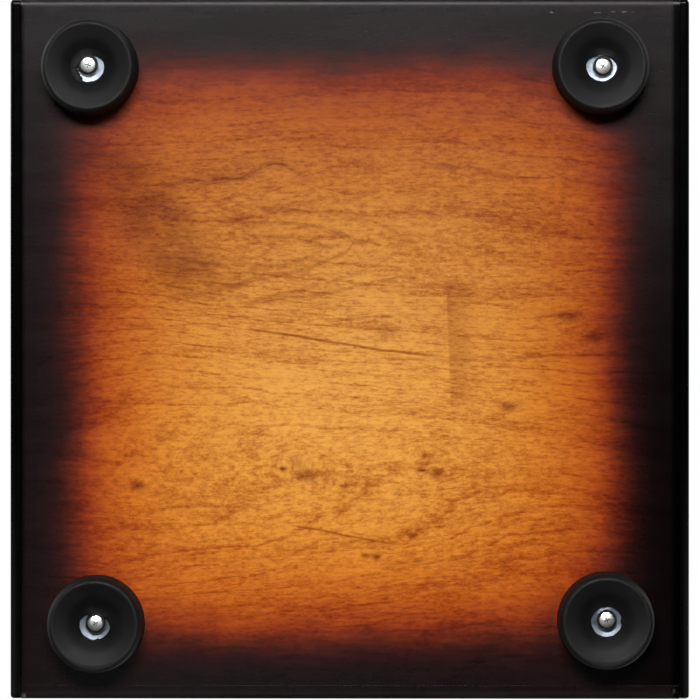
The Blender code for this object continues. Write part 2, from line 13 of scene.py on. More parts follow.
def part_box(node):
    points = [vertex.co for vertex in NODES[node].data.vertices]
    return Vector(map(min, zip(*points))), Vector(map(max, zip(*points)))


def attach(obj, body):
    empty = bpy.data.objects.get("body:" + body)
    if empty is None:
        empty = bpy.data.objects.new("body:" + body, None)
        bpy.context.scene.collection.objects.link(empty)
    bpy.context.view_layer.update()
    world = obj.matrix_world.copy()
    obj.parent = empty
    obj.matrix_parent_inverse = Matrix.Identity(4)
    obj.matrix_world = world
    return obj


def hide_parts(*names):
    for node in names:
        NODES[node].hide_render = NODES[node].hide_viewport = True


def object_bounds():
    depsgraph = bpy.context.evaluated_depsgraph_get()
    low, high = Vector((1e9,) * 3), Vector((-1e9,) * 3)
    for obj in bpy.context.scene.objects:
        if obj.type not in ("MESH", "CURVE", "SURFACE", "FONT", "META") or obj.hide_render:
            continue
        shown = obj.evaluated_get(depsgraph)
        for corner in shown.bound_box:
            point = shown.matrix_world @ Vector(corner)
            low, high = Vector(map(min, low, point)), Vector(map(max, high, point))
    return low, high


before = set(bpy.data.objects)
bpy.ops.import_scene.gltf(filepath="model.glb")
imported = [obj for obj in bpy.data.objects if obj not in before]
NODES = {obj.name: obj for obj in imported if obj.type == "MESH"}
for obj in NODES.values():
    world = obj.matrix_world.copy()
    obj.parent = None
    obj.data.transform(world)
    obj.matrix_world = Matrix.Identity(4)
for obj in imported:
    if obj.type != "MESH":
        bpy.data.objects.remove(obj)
CAD_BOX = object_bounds()

LOW, HIGH = CAD_BOX
PANEL_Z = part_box("bottom_panel")[0].z          # the underside that the feet are screwed to
LIP_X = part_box("bottom_panel")[1].x            # where the bottom panel ends and a side's lip begins
AXES = "xyz"


# ---- shader formulas
class Field:
    """A node socket that adds, multiplies and so on, so a pattern reads as a formula."""

    def __init__(self, look, socket):
        self.look = look
        self.socket = socket

    def __abs__(self):
        return self.look.math("ABSOLUTE", self)


def operator(operation, swapped):
    def apply(field, other):
        return field.look.math(operation, *((other, field) if swapped else (field, other)))
    return apply


for word, operation in (("add", "ADD"), ("sub", "SUBTRACT"), ("mul", "MULTIPLY"), ("truediv", "DIVIDE")):
    setattr(Field, f"__{word}__", operator(operation, False))
    setattr(Field, f"__r{word}__", operator(operation, True))


class Look:
    """A material under construction."""

    def __init__(self, name):
        self.material = bpy.data.materials.new(name)
        self.material.use_nodes = True
        self.tree = self.material.node_tree
        self.shader = self.tree.nodes["Principled BSDF"]
        place = self.node("ShaderNodeSeparateXYZ")
        self.tree.links.new(self.node("ShaderNodeTexCoord").outputs["Object"], place.inputs[0])
        self.x, self.y, self.z = (Field(self, place.outputs[axis]) for axis in range(3))

    def node(self, kind, **settings):
        made = self.tree.nodes.new(kind)
        for key, value in settings.items():
            setattr(made, key, value)
        return made

    def feed(self, socket, value):
        if isinstance(value, Field):
            self.tree.links.new(value.socket, socket)
        else:
            socket.default_value = value

    def math(self, operation, *values, clamp=False):
        made = self.node("ShaderNodeMath", operation=operation, use_clamp=clamp)
        for socket, value in zip(made.inputs, values):
            self.feed(socket, value)
        return Field(self, made.outputs[0])

    def clamp(self, value):
        return self.math("ADD", value, 0.0, clamp=True)

    def least(self, *values):
        found = values[0]
        for value in values[1:]:
            found = self.math("MINIMUM", found, value)
        return found

    def step(self, value, start, end, low=0.0, high=1.0):
        """Goes smoothly from low to high as the value goes from start to end."""
        made = self.node("ShaderNodeMapRange", interpolation_type="SMOOTHSTEP")
        for socket, given in zip(made.inputs, (value, start, end, low, high)):
            self.feed(socket, given)
        return Field(self, made.outputs[0])

    def length(self, a, b):
        return self.math("SQRT", a * a + b * b)

    def bell(self, square):
        """1 at the middle, where the squared distance is 0, and 0 far out."""
        return self.math("EXPONENT", square * -1.0)

    def between(self, value, out, full, still_full, out_again):
        """1 where the value lies between two places, fading to 0 outside."""
        return self.step(value, out, full) * self.step(value, out_again, still_full)

    def noise(self, x, y, z, detail=2.0, rough=0.5):
        place = self.node("ShaderNodeCombineXYZ")
        for socket, value in zip(place.inputs, (x, y, z)):
            self.feed(socket, value)
        made = self.node("ShaderNodeTexNoise")
        self.tree.links.new(place.outputs[0], made.inputs["Vector"])
        for name, value in (("Scale", 1.0), ("Detail", detail), ("Roughness", rough)):
            made.inputs[name].default_value = value
        return Field(self, made.outputs[0])

    def cloud(self, x_scale, y_scale=None, z_scale=None, shift=0.0, **settings):
        """Noise over the object, with so many periods in a metre."""
        y_scale = x_scale if y_scale is None else y_scale
        z_scale = x_scale if z_scale is None else z_scale
        return self.noise(self.x * x_scale + shift, self.y * y_scale, self.z * z_scale, **settings)

    def ramp(self, value, stops, gain=1.0):
        """A colour for the value: stops are (position, (r, g, b)) with sRGB bytes."""
        made = self.node("ShaderNodeValToRGB")
        self.feed(made.inputs[0], value)
        elements = made.color_ramp.elements
        while len(elements) < len(stops):
            elements.new(1.0)
        for element, (position, colour) in zip(elements, stops):
            element.position = position
            element.color = (*(gain * channel for channel in linear(colour)), 1.0)
        return Field(self, made.outputs[0])

    def mix(self, factor, a, b, blend="MIX"):
        made = self.node("ShaderNodeMix", data_type="RGBA", blend_type=blend)
        self.feed(made.inputs[0], factor)
        for socket, value in ((made.inputs[6], a), (made.inputs[7], b)):
            self.feed(socket, value if isinstance(value, Field) else (*linear(value), 1.0))
        return Field(self, made.outputs[2])

    def bump(self, height, distance, strength=1.0):
        made = self.node("ShaderNodeBump")
        made.inputs["Strength"].default_value = strength
        made.inputs["Distance"].default_value = distance
        self.feed(made.inputs["Height"], height)
        self.tree.links.new(made.outputs[0], self.shader.inputs["Normal"])

    def finish(self, colour, roughness, **uniform):
        """Joins colour and roughness to the shader; uniform values go on its own sockets."""
        self.feed(self.shader.inputs["Base Color"], colour)
        self.feed(self.shader.inputs["Roughness"], roughness)
        for name, value in uniform.items():
            self.shader.inputs[name.replace("_", " ")].default_value = value
        return self.material


def linear(colour):
    """sRGB bytes to linear light."""
    out = []
    for value in colour:
        value /= 255
        out.append(value / 12.92 if value <= 0.04045 else ((value + 0.055) / 1.055) ** 2.4)
    return tuple(out)


def dress(name, material):
    """Give a CAD node its material."""
    mesh = NODES[name].data
    mesh.materials.clear()
    mesh.materials.append(material)


# ---- sunburst plywood
BURST = (       # distance in from the panel's edge in metres, and the stain's colour there
    (0.000, (15, 6, 8)),
    (0.010, (18, 7, 9)),
    (0.016, (28, 10, 11)),
    (0.021, (42, 15, 13)),
    (0.025, (66, 23, 14)),
    (0.030, (101, 36, 16)),
    (0.034, (134, 52, 16)),
    (0.038, (155, 68, 18)),
    (0.043, (173, 86, 22)),
    (0.052, (189, 105, 30)),
    (0.065, (200, 124, 41)),
    (0.083, (209, 141, 55)),
    (0.110, (215, 152, 67)),
    (0.150, (220, 160, 75)),
)
BURST_REACH = BURST[-1][0]
BURST_GAIN = 1.44               # makes up for what the grain darkens
CORNER_ROUNDING = 0.085
DEEP_GRAIN = (178, 122, 52)     # the stain is multiplied by this where the grain is darkest
KNOT = (150, 134, 136)          # and by this in a knot
CRACK_SHADE = (166, 108, 74)    # and by this along a crack
GROWTH_SHADE = (166, 124, 94)   # and by this along a long growth line
RAW_PLY = (206, 172, 124)
RAW_PLY_GRAIN = (164, 122, 76)

PIN_KNOT = 0.0016               # spots narrower than this stir the grain further out
PALE_FIELD = 0.010              # spots longer than this don't bend it


def veneer(look, along, across, seed, spots=()):
    """Rotary-cut veneer figure: returns (darkening, fine relief, knots) of the wood at a point.

    Thin growth lines run along it and close in long loops. Between them lie mottling, short flecks and
    pores. spots are pin knots and smudges: (along, across, half length, half width, weight).
    """
    wave = look.noise(along * 3.5, across * 7.0, seed, detail=1.5, rough=0.45) - 0.5
    shake = look.noise(along * 48.0, across * 130.0, seed + 3.7, detail=3.0, rough=0.6) - 0.5
    sway = look.noise(along * 95.0, across * 95.0, seed + 6.1) - 0.5
    bent = across + wave * 0.012 + shake * 0.0009
    dark = stir = knots = 0.0
    for at_along, at_across, half_length, half_width, weight in spots:
        off_along = (along - at_along + sway * 0.0022) / half_length
        off_across = (across - at_across + sway * 0.0016) / half_width
        square = off_along * off_along + off_across * off_across
        core = look.bell(square) * weight
        dark = core + dark
        if weight > 0:
            knots = core + knots
        stir = look.bell(square * (0.05 if half_width < PIN_KNOT else 0.22)) * weight + stir
        if half_length < PALE_FIELD:
            bent = bent - off_across * look.bell(square * 0.12) * (half_width * 0.35)
    hill = look.noise(along * 3.0, across * 7.5, seed + 5.3, detail=1.2) - 0.5
    stirred = bent + sway * (stir * 0.0050) + hill * 0.060
    ragged = look.noise(along * 20.0, across * 46.0, seed + 2.9, detail=3.0, rough=0.6) - 0.5
    growth = stirred * 120.0 + hill * 16.0 + ragged * 1.5
    patchy = look.noise(along * 14.0, across * 34.0, seed + 1.4, detail=4.0, rough=0.65)
    line = look.math("FRACT", growth)
    line = look.between(line, 0.76, 0.93, 0.96, 1.0) * look.step(patchy, 0.38, 0.58)
    band = look.math("FRACT", growth * 0.29)
    band = look.between(band, 0.60, 0.98, 0.99, 1.0) * look.step(patchy, 0.58, 0.42)
    mottle = look.noise(along * 28.0, stirred * 80.0, seed + 9.1, detail=6.0, rough=0.72) - 0.5
    cloud = look.noise(along * 9.0, across * 17.0, seed + 4.8, detail=3.0, rough=0.55) - 0.5
    fleck = look.noise(along * 330.0, stirred * 740.0, seed + 2.2, detail=4.0, rough=0.72)
    streak = look.noise(along * 80.0, stirred * 760.0, seed + 6.6, detail=3.0, rough=0.68)
    pores = look.step(look.noise(along * 330.0, bent * 1500.0, seed + 8.8, detail=1.0), 0.60, 0.74)
    total = mottle * 0.95 + cloud * 0.7 + (fleck - 0.5) * 2.3 + (streak - 0.5) * 1.0 + 0.25
    total = total + line * 0.30 + band * 0.24 + pores * look.step(mottle, -0.10, 0.16, 0.08, 0.30) + dark
    relief = fleck * 0.4 + streak * 0.4 - pores * 0.4
    return total, relief, look.clamp(knots)


def ply_layers(look, depth, thickness, seed):
    """Light and dark layers of a bare plywood edge, 0 to 1."""
    layers = 5
    wobble = look.cloud(60.0, shift=seed, detail=1.0) * 0.0003
    layer = look.math("FRACT", (depth + wobble) / (thickness / layers * 2))
    return look.step(abs(layer - 0.5), 0.20, 0.28)


NO_BORDERS = (0.0, 0.0, 0.0, 0.0)


def sunburst(name, grain, across, outward, seed, spots=(), borders=NO_BORDERS, extras=None):
    """Stained and lacquered plywood panel of the box.

    grain and across name the face's axes, outward its normal, such as "-z". borders widen (+) or narrow (-)
    the black border at the low and high ends of the grain axis and then of the across axis.
    """
    look = Look("sunburst_" + name)
    places = {"x": look.x, "y": look.y, "z": look.z}
    low = {"x": LOW.x, "y": LOW.y, "z": PANEL_Z}
    high = {"x": HIGH.x, "y": HIGH.y, "z": HIGH.z}
    g, c = places[grain], places[across]
    sign, normal = (1 if outward[0] == "+" else -1), outward[1]
    depth = ((high if sign > 0 else low)[normal] - places[normal]) * sign
    darkness, relief, knots = veneer(look, g, c, seed, spots)

    # the stain is sprayed on, so its border is rounded in the corners and drifts along the edges
    drift = (look.cloud(9.0, shift=seed) - 0.5) * 0.014
    drift = drift + (look.cloud(42.0, shift=seed, detail=3.0, rough=0.6) - 0.5) * 0.008
    hairs = (look.noise(g * 40.0, c * 420.0, seed + 4.4) - 0.5) * 0.007
    ends = look.least(g - (low[grain] + borders[0]), (high[grain] - borders[1]) - g)
    flanks = look.least(c - (low[across] + borders[2]), (high[across] - borders[3]) - c)
    inward = look.math("SMOOTH_MIN", ends, flanks, CORNER_ROUNDING) + drift + hairs
    stops = [(distance / BURST_REACH, colour) for distance, colour in BURST]
    stain = look.ramp(inward / BURST_REACH, stops, BURST_GAIN)
    wood = look.mix(look.step(darkness, -0.30, 1.15), stain, DEEP_GRAIN, "MULTIPLY")
    wood = look.mix(knots, wood, KNOT, "MULTIPLY")
    gloss = 0.0
    if extras:
        wood, relief, gloss = extras(look, wood, relief)

    # bare wood on the inside, but not on the panel's own outer edges
    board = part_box(name)
    thickness = (board[1] - board[0])[AXES.index(normal)]
    margin = look.least(g - low[grain], high[grain] - g, c - low[across], high[across] - c)
    inside = look.step(depth, thickness - 0.0009, thickness - 0.0005) * look.step(margin, 0.0058, 0.0064)
    bare = look.mix(look.clamp(darkness * 0.8), RAW_PLY, RAW_PLY_GRAIN)
    colour = look.mix(inside, wood, bare)
    if name == "back_panel":
        colour, inside = hole_edge(look, colour, inside, depth, thickness)

    # satin lacquer over open pores
    peel = look.cloud(420.0, detail=1.0)
    smear = look.noise(g * 16.0, c * 90.0, seed + 7.7, detail=3.0)
    roughness = look.step(smear, 0.3, 0.7, 0.24, 0.27) + relief * 0.05 - gloss
    roughness = look.math("MAXIMUM", roughness, inside * 0.75)
    look.bump(relief + peel * 0.15, 0.00003, 0.5)
    return look.finish(colour, roughness, Specular_IOR_Level=0.15)


HOLE_R, HOLE_Z = 0.060, 0.318   # sound hole
HOLE_STAIN = (24, 14, 14)


def hole_edge(look, colour, inside, depth, thickness):
    """The sound hole's wall shows its plies, under a dark ring of stain round the opening."""
    distance = look.length(look.x, look.z - HOLE_Z)
    ring = look.step(distance, HOLE_R + 0.0075, HOLE_R + 0.0020)
    ring = ring * look.step(depth, thickness - 0.0003, thickness - 0.0007)
    colour = look.mix(ring * 0.92, colour, HOLE_STAIN)
    wall = look.step(distance, HOLE_R + 0.0005, HOLE_R + 0.0002) * look.step(depth, 0.0008, 0.0013)
    layers = look.mix(ply_layers(look, depth, thickness, 3.3), (196, 156, 106), (122, 84, 52))
    return look.mix(wall, colour, layers), look.math("MAXIMUM", inside, wall)


def crack(look, start, end, width, weight, wood, relief):
    """A fine dark line in the underside, from one (y, x) place to another."""
    (y0, x0), (y1, x1) = start, end
    length = math.hypot(y1 - y0, x1 - x0)
    along_y, along_x = (y1 - y0) / length, (x1 - x0) / length
    run = (look.y - y0) * along_y + (look.x - x0) * along_x
    bow = look.noise(run * 55.0, y0 * 100.0, 0.0, detail=1.0) - 0.5
    off = (look.x - x0) * along_y - (look.y - y0) * along_x + bow * 0.0022
    here = look.between(run, 0.0, 0.006, length - 0.010, length)
    line = look.step(abs(off), width * 2.0, width * 0.3) * here * weight
    return look.mix(line, wood, CRACK_SHADE, "MULTIPLY"), relief - line * 0.5


# Long growth lines of the underside. run goes towards the tapa, so run = -y.
GROWTH_WAVES = (    # run at both ends, x, rise per run, swell (run, half length, push), half width, weight
    (-0.0820, -0.0125, -0.0742, 0.02, (-0.0317, 0.0110, -0.0078), 0.0012, 0.70),
    (-0.0780, -0.0200, -0.0775, 0.02, (-0.0330, 0.0120, -0.0070), 0.0036, 0.34),
    (-0.0488, 0.0330, -0.0187, -0.18, (-0.0100, 0.0200, 0.0010), 0.0008, 0.50),
    (-0.0147, 0.0482, -0.0128, -0.03, (0.0200, 0.0200, -0.0010), 0.0007, 0.42),
    (0.0102, 0.1189, 0.0042, -0.02, (0.0600, 0.0250, 0.0008), 0.0007, 0.50),
    (-0.0900, -0.0300, -0.0420, 0.10, (-0.0600, 0.0150, 0.0020), 0.0008, 0.42),
    (0.0250, 0.0850, -0.0800, 0.12, (0.0500, 0.0150, -0.0020), 0.0009, 0.42),
    (-0.0950, -0.0350, 0.0720, -0.06, (-0.0700, 0.0150, -0.0020), 0.0008, 0.42),
    (0.0100, 0.0900, 0.0950, -0.16, (0.0500, 0.0200, 0.0020), 0.0008, 0.42),
)
GROWTH_LOOPS = (    # run and x of the tip, drift in x per run, tightness, length, half width, weight
    (0.0010, -0.0462, 0.0875, 256.0, 0.062, 0.0012, 0.52),
    (-0.0120, -0.0440, 0.0875, 520.0, 0.045, 0.0010, 0.42),
    (0.0230, -0.0470, 0.0875, 150.0, 0.075, 0.0010, 0.34),
)


def stroke(look, off, run, start, end, half_width, weight):
    """Darkness of a soft, broken line at a distance off, between two places along its run."""
    ends = look.between(run, start, start + 0.014, end - 0.014, end)
    broken = look.noise(run * 110.0, off * 500.0, start * 60.0, detail=4.0, rough=0.65)
    return look.step(abs(off), half_width * 2, 0.0) * ends * look.step(broken, 0.36, 0.60, 0.15, 1.0) * weight


def growth_figure(look, wood):
    """The waves and the long loops that the rotary cut leaves."""
    ripple = (look.noise(look.y * 26.0, look.x * 60.0, 2.6, detail=3.0) - 0.5) * 0.0030
    run, across = look.y * -1.0, look.x + ripple
    dark = 0.0
    for start, end, x, rise, (peak, length, push), half_width, weight in GROWTH_WAVES:
        lean = (run - peak) / length
        swell = look.bell(lean * lean) * push
        off = across - (run - start) * rise - swell - x
        dark = stroke(look, off, run, start, end, half_width, weight) + dark
    for tip, x, drift, tightness, length, half_width, weight in GROWTH_LOOPS:
        back = tip - run
        spread = look.math("SQRT", look.math("MAXIMUM", back, 0.0) / tightness)
        off = abs(across - x - back * drift) - spread
        dark = stroke(look, off, back, -0.014, length, half_width, weight) + dark
    return look.mix(look.clamp(dark), wood, GROWTH_SHADE, "MULTIPLY")


CRACKS = (      # ((y, x) start, end, half width, weight)
    ((0.0462, -0.0090), (-0.0425, 0.0042), 0.00045, 0.70),
    ((0.0262, 0.0765), (-0.0208, 0.0855), 0.00042, 0.60),
    ((0.1432, -0.0475), (0.1340, -0.0496), 0.00040, 0.80),
)
UNDERSIDE_SPOTS = (     # (y, x, half length, half width, weight); the first is a pale field
    (-0.0220, -0.0200, 0.0520, 0.0360, -0.20),
    (0.0291, 0.0521, 0.0019, 0.0009, 0.75),
    (0.0190, 0.0547, 0.0062, 0.0030, 0.42),
    (0.0228, 0.0487, 0.0040, 0.0022, 0.28),
    (-0.0317, 0.0529, 0.0018, 0.0008, 0.75),
    (-0.0374, 0.0542, 0.0029, 0.0022, 0.45),
    (-0.0336, 0.0464, 0.0040, 0.0028, 0.22),
    (-0.0068, 0.0901, 0.0018, 0.0010, 0.50),
    (-0.0119, 0.0903, 0.0020, 0.0013, 0.62),
    (-0.0275, 0.0813, 0.0024, 0.0011, 0.35),
    (-0.0207, 0.0630, 0.0026, 0.0010, 0.30),
    (0.0011, 0.0599, 0.0036, 0.0012, 0.25),
    (0.0924, 0.0595, 0.0034, 0.0022, 0.50),
    (-0.0692, 0.0250, 0.0040, 0.0020, 0.45),
    (-0.0167, -0.0077, 0.0052, 0.0030, 0.26),
    (-0.0945, -0.0143, 0.0056, 0.0026, 0.42),
    (-0.1067, -0.0052, 0.0042, 0.0024, 0.40),
)
UNDERSIDE_BORDERS = (0.001, 0.0, -0.001, -0.0015)
PATCH_Y = -0.0432
PATCH_DEPTH = 0.016


def straight_patch(look, wood):
    """A darker patch of the veneer, straight at one side."""
    edge = PATCH_Y + (look.x + 0.002) * -0.035
    beyond = look.between(look.y, edge - PATCH_DEPTH, edge - 0.002, edge - 0.0006, edge + 0.0006)
    ends = look.between(look.x, -0.033, -0.026, 0.018, 0.030)
    return look.mix(beyond * ends * 0.40, wood, (188, 150, 118), "MULTIPLY")


def uneven_stain_and_painted_shade(look, wood):
    """A smoky tone slants across the upper left, and towards -X the wood is painted darker as shade."""
    slant = look.y - 0.084 + (look.x + 0.055) * 0.55
    smoke = look.cloud(70.0, 50.0, 50.0, shift=4.0, detail=5.0, rough=0.7)
    shade = look.step(abs(slant), 0.027, 0.004) * look.step(abs(look.x + 0.056), 0.042, 0.020)
    shade = shade * look.step(smoke, 0.34, 0.62, 0.35, 0.85)
    wood = look.mix(shade, wood, (190, 172, 164), "MULTIPLY")
    # painted shade: the wood is darkened towards -X
    return look.mix(look.step(look.x, 0.13, -0.14) * 0.80, wood, (186, 162, 170), "MULTIPLY")


def worn_seam(look, wood):
    """Pale filler shows here and there in the seam at -X."""
    crumbs = look.step(look.cloud(900.0, 230.0, 900.0), 0.60, 0.66)
    seam = look.step(abs(look.x + LIP_X), 0.00042, 0.00025) * look.step(look.y, -0.045, -0.075)
    return look.mix(crumbs * seam * 0.8, wood, (128, 128, 134))


def underside_marks(look, wood, relief):
    """What marks the underside's veneer, and a glossier place towards the tapa that is painted darker as
    shade.
    """
    wood = growth_figure(look, wood)
    for mark in CRACKS:
        wood, relief = crack(look, *mark, wood, relief)
    for mark in (straight_patch, uneven_stain_and_painted_shade, worn_seam):
        wood = mark(look, wood)
    wood, pool = lacquer_pool(look, wood)
    # painted shade: this place towards the tapa is glossier and also darkened
    gloss_and_painted_shade = look.step(look.y, -0.108, -0.136) * look.step(look.x, -0.08, 0.04)
    wood = look.mix(gloss_and_painted_shade * 0.75, wood, (130, 124, 136), "MULTIPLY")
    return wood, relief, pool + gloss_and_painted_shade * 0.07


LACQUER_BLACK = (3, 3, 3)
POOL_GLOSS = 0.14       # less rough by this where the lacquer stands thick


def lacquer_pool(look, wood):
    """The lacquer stands thicker and darker where the underside meets the front and back plates."""
    front, rear = look.step(look.y, -0.1396, -0.1424), look.step(look.y, 0.1410, 0.1437)
    pool = look.math("MAXIMUM", front, rear) * look.step(look.z, PANEL_Z + 0.002, PANEL_Z)
    return look.mix(pool, wood, LACQUER_BLACK), pool * POOL_GLOSS


def plate_marks(look, wood, relief):
    """A plate's lower edge is glossy black, with painted light that makes it greyer towards +X."""
    edge = look.step(look.z, PANEL_Z + 0.0022, PANEL_Z + 0.0010)
    outer = look.step(abs(look.y), HIGH.y - 0.0034, HIGH.y - 0.0008)
    # painted light: the outer part of the edge turns grey towards +X
    painted_light = look.step(look.x, 0.03, 0.13) * outer
    return look.mix(edge, wood, look.mix(painted_light, LACQUER_BLACK, (24, 23, 22))), relief, edge * POOL_GLOSS


def side_marks(look, wood, relief):
    """Grey streaks on the long rounded edges, partly scuffs and partly painted light where the roundover
    catches it, and drops of dried glue at the corners underneath.
    """
    streaks = look.cloud(90.0, 22.0, 500.0, shift=9.0, detail=5.0, rough=0.7)
    edge = look.step(abs(look.x), HIGH.x - 0.0042, HIGH.x - 0.0004)
    edge = edge * look.step(look.z, PANEL_Z + 0.0030, PANEL_Z)
    # painted light and scuffs: the rounded edges are painted grey in streaks
    wood = look.mix(look.step(streaks, 0.35, 0.65, 0.35, 1.0) * edge * 0.6, wood, (44, 42, 44))
    for y, x in ((0.1424, 0.1512), (-0.1422, 0.1490)):
        near = look.step(abs(look.y - y), 0.0016, 0.0004) * look.step(abs(look.x - x), 0.0014, 0.0004)
        wood = look.mix(near * 0.45, wood, (150, 142, 132))
    wood, pool = lacquer_pool(look, wood)
    return wood, relief, pool - edge * 0.12


PIN = (0.0024, 0.0012, 0.7)     # half length, half width and weight of a spot
SMUDGE = (0.0050, 0.0026, 0.4)


def panel_looks():
    """One material for each panel of the box."""
    panels = (      # name, grain, across, outward, seed, spots, borders, extras
        ("bottom_panel", "y", "x", "-z", 11.3, UNDERSIDE_SPOTS, UNDERSIDE_BORDERS, underside_marks),
        ("top_panel", "y", "x", "+z", 23.9, ((0.05, -0.04, 0.0022, 0.0011, 0.7), (-0.07, 0.05, *SMUDGE))),
        ("side_panel_left", "z", "y", "-x", 37.2, ((0.31, 0.03, *PIN),), NO_BORDERS, side_marks),
        ("side_panel_right", "z", "y", "+x", 52.8, ((0.19, -0.04, *PIN), (0.36, 0.05, 0.0060, 0.0028, 0.4)),
         NO_BORDERS, side_marks),
        ("tapa", "z", "x", "-y", 64.1, ((0.21, 0.035, *SMUDGE),), NO_BORDERS, plate_marks),
        ("back_panel", "z", "x", "+y", 78.5, ((0.12, -0.05, *PIN), (0.42, 0.06, *SMUDGE)),
         NO_BORDERS, plate_marks),
    )
    return {panel[0]: sunburst(*panel) for panel in panels}


def bare_wood(name, long_axis, pale, dark, seed, rings):
    """Sawn or planed wood of the inner frame."""
    look = Look(name)
    axes = [look.x, look.y, look.z]
    along = axes.pop(AXES.index(long_axis))
    wave = look.noise(along * 5.0, axes[0] * 20.0, axes[1] * 20.0 + seed) * 0.010
    ring = look.math("SINE", (axes[0] * 0.8 + axes[1] * 0.6 + wave) * rings * math.pi)
    fibre = look.noise(along * 40.0, axes[0] * 900.0, axes[1] * 900.0, detail=3.0)
    shade = look.clamp(ring * 0.18 + 0.3 + (fibre - 0.5) * 1.1)
    look.bump(fibre, 0.00025, 0.6)
    return look.finish(look.mix(shade, pale, dark), look.step(fibre, 0.3, 0.7, 0.62, 0.82))


def dress_inner_wood():
    for end in ("front", "rear"):
        for place, axis in (("top", "x"), ("bottom", "x"), ("left", "z"), ("right", "z")):
            name = f"{end}_batten_{place}"
            pine = bare_wood("pine_" + name, axis, (222, 190, 142), (178, 130, 80), len(name) * 1.7, 330.0)
            dress(name, pine)
    beech = bare_wood("beech_bar", "x", (206, 158, 112), (166, 112, 70), 3.1, 520.0)
    for name in ("snare_bar", "snare_block_left", "snare_block_right"):
        dress(name, beech)


# ---- metal and rubber
def zinc():
    """Bright zinc plate with a faint bluish cast, small stains and fine turning marks."""
    look = Look("zinc_plate")
    cloud = look.cloud(420.0, detail=3.0)
    scratch = look.cloud(2600.0, 500.0, 500.0)
    look.bump(scratch + cloud * 0.4, 0.000003, 0.2)
    colour = look.mix(look.step(cloud, 0.45, 0.75), (122, 130, 140), (98, 105, 116))
    return look.finish(colour, look.step(scratch, 0.3, 0.7, 0.38, 0.46), Metallic=1.0)


def bright_steel():
    """Screw heads: polished, and brushed on the flat of the dome."""
    look = Look("bright_steel")
    cloud = look.cloud(600.0)
    colour = look.mix(look.step(cloud, 0.4, 0.8), (206, 206, 202), (176, 175, 170))
    depth = look.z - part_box("foot_screw_front_left")[0].z
    brushed = look.step(depth, 0.00058, 0.00036) * look.step(cloud, 0.25, 0.75, 0.19, 0.27)
    return look.finish(colour, brushed + 0.17, Metallic=1.0)


def blackened():
    """Black phosphated screw."""
    look = Look("black_screw")
    cloud = look.cloud(900.0, detail=3.0)
    look.bump(cloud, 0.00003, 0.5)
    colour = look.mix(look.step(cloud, 0.5, 0.8), (30, 29, 31), (64, 61, 60))
    return look.finish(colour, look.step(cloud, 0.3, 0.7, 0.32, 0.5), Metallic=0.75)


def steel(name, tint, rough):
    look = Look(name)
    cloud = look.cloud(700.0, detail=3.0)
    look.bump(cloud, 0.00002, 0.4)
    colour = look.mix(cloud, tint, tuple(0.8 * value for value in tint))
    return look.finish(colour, look.step(cloud, 0.3, 0.7, rough, rough + 0.15), Metallic=1.0)


def rubber():
    """Moulded black rubber, duller on its side, with a bloom of dust, scuffs in the dish and a fine grit."""
    look = Look("rubber_foot")
    bloom = look.cloud(120.0, detail=4.0, rough=0.6)
    grit = look.cloud(1500.0)
    streaks = look.step(look.cloud(260.0, 110.0, 200.0, detail=3.0), 0.58, 0.72)
    face = look.step(look.z, 0.0065, 0.0005)
    worn = look.clamp(look.step(bloom, 0.45, 0.75) * 0.35 + streaks * face * 0.35)
    colour = look.mix(worn, (5, 5, 5), (20, 20, 21))
    look.bump(grit + streaks * 0.6, 0.00003, 0.4)
    centres = [middle(f"foot_{corner}") for corner in FEET]
    distance = look.least(*(look.length(look.x - centre.x, look.y - centre.y) for centre in centres))
    side = look.step(distance, 0.0194, 0.0201)
    roughness = look.step(bloom, 0.3, 0.7, 0.58, 0.66) + side * 0.2
    return look.finish(colour, roughness, Specular_IOR_Level=0.30)


# ---- pieces in mesh code
def show(obj):
    bpy.context.scene.collection.objects.link(obj)
    return obj


def new_piece(name, shape, material, slot, *nodes, smooth=True):
    """A visible piece, from a mesh or a bmesh, that rides on the only body and stands for CAD nodes."""
    mesh = to_mesh(name, shape) if isinstance(shape, bmesh.types.BMesh) else shape
    mesh.materials.clear()
    mesh.materials.append(material)
    if smooth:
        mesh.shade_smooth()
        mesh.set_sharp_from_angle(angle=math.radians(38))
    piece = show(bpy.data.objects.new(name, mesh))
    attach(piece, "root")
    if nodes:
        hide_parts(*nodes)
    return piece


def to_mesh(name, bm):
    mesh = bpy.data.meshes.new(name)
    bm.to_mesh(mesh)
    bm.free()
    return mesh


def carve(name, bm, *cutters):
    """The mesh that is left when the cutters are taken out of bm."""
    body = show(bpy.data.objects.new(name, to_mesh(name, bm)))
    tools = []
    for number, cutter in enumerate(cutters):
        label = f"{name}_cutter_{number}"
        tool = show(bpy.data.objects.new(label, to_mesh(label, cutter)))
        tools.append(tool)
        cut = body.modifiers.new(label, "BOOLEAN")
        cut.operation = "DIFFERENCE"
        cut.solver = "EXACT"
        cut.object = tool
    carved = bpy.data.meshes.new_from_object(body.evaluated_get(bpy.context.evaluated_depsgraph_get()))
    carved.name = name
    for made in (body, *tools):
        bpy.data.objects.remove(made)
    return carved


def quarter_turn(steps):
    return [math.pi / 2 * step / steps for step in range(steps + 1)]


def full_turn(steps):
    return [math.tau * step / steps for step in range(steps)]


def round_line(points, radii, steps=4):
    """The outline with each inner point's corner rounded off by its own radius."""
    out = [Vector(points[0])]
    for index in range(1, len(points) - 1):
        before, here, after = (Vector(points[index + offset]) for offset in (-1, 0, 1))
        back, on = before - here, after - here
        cut = min(radii[index], 0.45 * back.length, 0.45 * on.length)
        start, end = here + back.normalized() * cut, here + on.normalized() * cut
        for step in range(steps + 1):
            t = step / steps
            out.append(start * (1 - t) ** 2 + here * 2 * t * (1 - t) + end * t * t)
    out.append(Vector(points[-1]))
    return out


